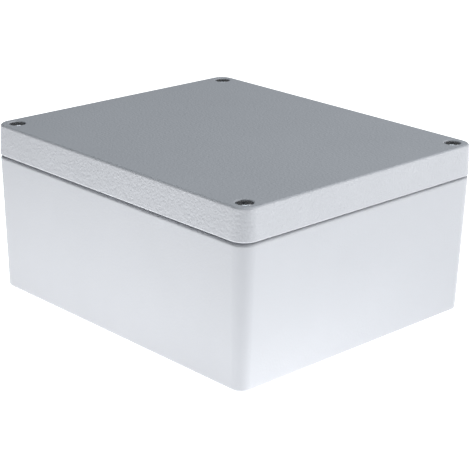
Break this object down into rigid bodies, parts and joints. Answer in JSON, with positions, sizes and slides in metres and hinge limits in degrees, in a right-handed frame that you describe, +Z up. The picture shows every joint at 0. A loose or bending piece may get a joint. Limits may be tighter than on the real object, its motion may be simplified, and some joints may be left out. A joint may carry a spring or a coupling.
{
  "type": "die cast aluminium enclosure",
  "caption": "Rectangular die cast aluminium box in light grey powder coat, with drafted sides and a sealed lid held by captive screws at its corners.",
  "frame": {"origin": "centre of the box's underside, on the surface it stands on", "axes": "+X along the length, +Y along the width, +Z up through the lid"},
  "size_m": [0.23, 0.2, 0.11],
  "materials": {
    "powder_coat": "satin",
    "gasket_rubber": "matte",
    "stainless_steel": "satin",
    "nylon": "matte",
    "plated_steel": "satin"
  },
  "bodies": {
    "base": {"base_casting": "powder_coat", "base_earth_screw": "plated_steel", "base_earth_tooth_washer": "plated_steel", "base_earth_clamp": "plated_steel"},
    "lid": {"lid_casting": "powder_coat", "lid_gasket": "gasket_rubber", "lid_earth_screw": "plated_steel", "lid_earth_tooth_washer": "plated_steel", "lid_earth_clamp": "plated_steel"},
    "ring_front_left": {"retaining_ring_front_left": "nylon"},
    "screw_front_left": {"lid_screw_front_left": "stainless_steel"},
    "ring_front_right": {"retaining_ring_front_right": "nylon"},
    "screw_front_right": {"lid_screw_front_right": "stainless_steel"},
    "ring_back_right": {"retaining_ring_back_right": "nylon"},
    "screw_back_right": {"lid_screw_back_right": "stainless_steel"},
    "ring_back_left": {"retaining_ring_back_left": "nylon"},
    "screw_back_left": {"lid_screw_back_left": "stainless_steel"}
  },
  "joints": [
    {"name": "lid_lift", "type": "slide", "parent": "base", "child": "lid", "axis": [0, 0, 1], "range_m": [0, 0.1]},
    {"name": "screw_rise_front_left", "type": "slide", "parent": "lid", "child": "ring_front_left", "axis": [0, 0, 1], "range_m": [0, 0.0104]},
    {"name": "screw_turn_front_left", "type": "hinge", "parent": "ring_front_left", "child": "screw_front_left", "pos_m": [-0.1041, -0.0891, 0.09], "axis": [0, 0, 1], "range_deg": [0, 4690]},
    {"name": "screw_rise_front_right", "type": "slide", "parent": "lid", "child": "ring_front_right", "axis": [0, 0, 1], "range_m": [0, 0.0104]},
    {"name": "screw_turn_front_right", "type": "hinge", "parent": "ring_front_right", "child": "screw_front_right", "pos_m": [0.1041, -0.0891, 0.09], "axis": [0, 0, 1], "range_deg": [0, 4690]},
    {"name": "screw_rise_back_right", "type": "slide", "parent": "lid", "child": "ring_back_right", "axis": [0, 0, 1], "range_m": [0, 0.0104]},
    {"name": "screw_turn_back_right", "type": "hinge", "parent": "ring_back_right", "child": "screw_back_right", "pos_m": [0.1041, 0.0891, 0.09], "axis": [0, 0, 1], "range_deg": [0, 4690]},
    {"name": "screw_rise_back_left", "type": "slide", "parent": "lid", "child": "ring_back_left", "axis": [0, 0, 1], "range_m": [0, 0.0104]},
    {"name": "screw_turn_back_left", "type": "hinge", "parent": "ring_back_left", "child": "screw_back_left", "pos_m": [-0.1041, 0.0891, 0.09], "axis": [0, 0, 1], "range_deg": [0, 4690]}
  ],
  "couplings": [
    {"joint": "screw_turn_front_left", "follows": "screw_rise_front_left", "rad_per_m": 7854},
    {"joint": "screw_turn_front_right", "follows": "screw_rise_front_right", "rad_per_m": 7854},
    {"joint": "screw_turn_back_right", "follows": "screw_rise_back_right", "rad_per_m": 7854},
    {"joint": "screw_turn_back_left", "follows": "screw_rise_back_left", "rad_per_m": 7854}
  ]
}
